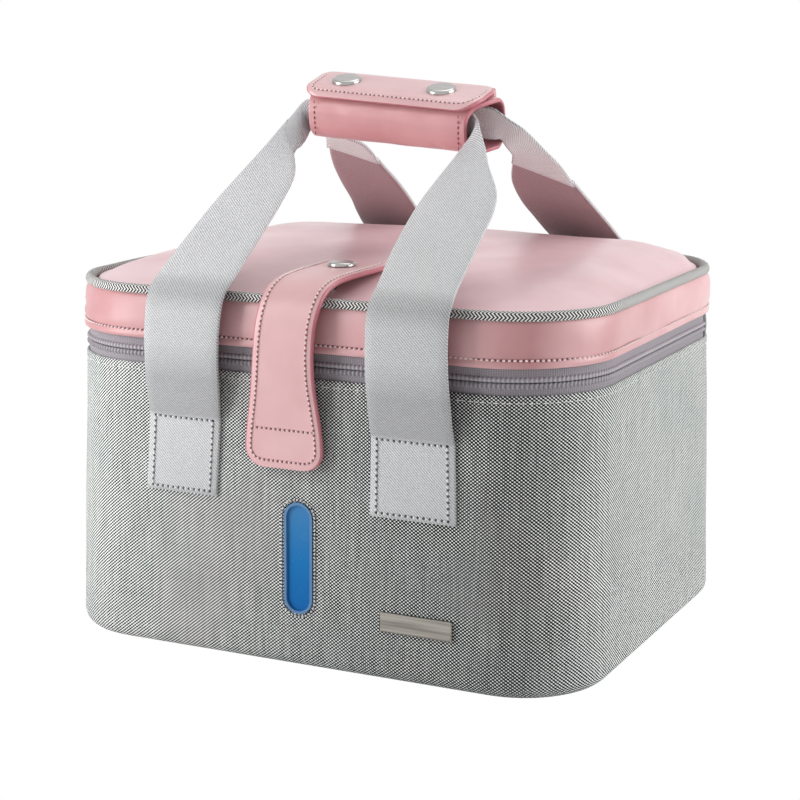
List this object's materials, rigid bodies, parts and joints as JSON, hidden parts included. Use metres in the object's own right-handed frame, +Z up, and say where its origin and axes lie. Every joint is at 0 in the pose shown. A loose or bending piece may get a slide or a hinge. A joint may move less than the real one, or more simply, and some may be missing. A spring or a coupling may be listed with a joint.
{
  "type": "uv sterilizer bag",
  "caption": "Soft-sided box bag with a hinged padded lid that holds an ultraviolet lamp, a magnetic front flap, a zip and webbing handles joined in a grip that snaps shut.",
  "frame": {"origin": "middle of the flat underside of the base", "axes": "+X to the bag's own left-to-right as seen from the front, +Y from the front face to the back, +Z up"},
  "size_m": [0.286, 0.2438, 0.275],
  "materials": {
    "twill_fabric": "black and white dotted twill",
    "zip_cloth": "woven tape",
    "zip_nylon": "satin nylon",
    "foam": "matt foam",
    "board": "matt",
    "reflective_foil": "bright foil",
    "blue_window": "tinted, glossy",
    "clear_plastic": "clear, glossy",
    "nickel": "brushed nickel",
    "snap_steel": "plain steel",
    "zip_metal": "bright",
    "magnet": "plated",
    "webbing": "ribbed webbing",
    "pink_leather": "smooth, satin",
    "pale_leather": "smooth, soft sheen",
    "piping_cloth": "black and white twill",
    "battery_wrap": "shrink film",
    "circuit_board": "solder mask",
    "lamp_lens": "glossy",
    "white_plastic": "satin",
    "quartz": "clear",
    "button_plastic": "satin"
  },
  "bodies": {
    "body": {"outer_shell": "twill_fabric", "wall_foam": "foam", "base_board": "board", "inner_liner": "reflective_foil", "window_pane": "blue_window", "window_rim": "clear_plastic", "front_plate": "nickel", "body_magnet": "magnet", "front_strap_ends": "webbing", "rear_strap_ends": "webbing", "zip_tape_lower": "zip_cloth", "zip_teeth_lower": "zip_nylon", "hinge_gusset": "twill_fabric"},
    "zip_slider": {"zip_slider": "zip_metal"},
    "zip_pull": {"zip_pull": "zip_metal"},
    "lid": {"zip_tape_upper": "zip_cloth", "zip_teeth_upper": "zip_nylon", "lid_side_band": "pink_leather", "lid_piping": "piping_cloth", "lid_top_panel": "pale_leather", "lid_crown_pad": "foam", "lid_tray": "board", "lid_lining": "reflective_foil", "lid_core": "foam", "battery_pack": "battery_wrap", "control_board": "circuit_board", "led_board": "circuit_board", "uv_leds": "lamp_lens", "lamp_frame": "white_plastic", "lamp_cover": "quartz", "button_bezel": "zip_metal", "charge_port": "snap_steel", "flap_anchor": "pink_leather", "flap_snap_stud": "snap_steel", "flap_snap_cap": "nickel", "flap_snap_socket": "snap_steel"},
    "power_button": {"power_button": "button_plastic"},
    "closure_flap": {"closure_flap": "pink_leather", "flap_magnet": "magnet"},
    "front_handle": {"front_webbing": "webbing"},
    "rear_handle": {"rear_webbing": "webbing", "grip_wrap": "pink_leather", "grip_snap_studs": "snap_steel"},
    "grip_flap": {"grip_flap": "pink_leather", "grip_snap_caps": "nickel", "grip_snap_sockets": "snap_steel"}
  },
  "joints": [
    {"name": "lid_hinge", "type": "hinge", "parent": "body", "child": "lid", "pos_m": [0, 0.1135, 0.1465], "axis": [-1, 0, 0], "range_deg": [0, 100], "deforming": ["hinge_gusset"]},
    {"name": "flap_hinge", "type": "hinge", "parent": "lid", "child": "closure_flap", "pos_m": [0.003, -0.082, 0.18621], "axis": [-1, 0, 0], "range_deg": [0, 100]},
    {"name": "front_handle_hinge", "type": "hinge", "parent": "body", "child": "front_handle", "pos_m": [0, -0.11582, 0.1173], "axis": [1, 0, 0], "range_deg": [0, 150], "deforming": ["front_webbing"]},
    {"name": "rear_handle_hinge", "type": "hinge", "parent": "body", "child": "rear_handle", "pos_m": [0, 0.11582, 0.1173], "axis": [-1, 0, 0], "range_deg": [0, 150], "deforming": ["rear_webbing"]},
    {"name": "grip_flap_hinge", "type": "hinge", "parent": "rear_handle", "child": "grip_flap", "pos_m": [0.00108, 0.00566, 0.27052], "axis": [-0.9976, -0.0181, 0.0674], "range_deg": [0, 120]},
    {"name": "zip_slide", "type": "slide", "parent": "body", "child": "zip_slider", "axis": [0, -1, 0], "range_m": [0, 0.11]},
    {"name": "zip_pull_hinge", "type": "hinge", "parent": "zip_slider", "child": "zip_pull", "pos_m": [-0.14256, 0.058, 0.146], "axis": [0, 1, 0], "range_deg": [0, 150]},
    {"name": "power_button_press", "type": "slide", "parent": "lid", "child": "power_button", "axis": [0, 0, -1], "range_m": [0, 0.0012], "stiffness_N_per_m": 400}
  ],
  "couplings": [
    {"joint": "front_handle_hinge", "follows": "lid_hinge", "ratio": 1.5},
    {"joint": "rear_handle_hinge", "follows": "lid_hinge", "ratio": 1.5}
  ]
}
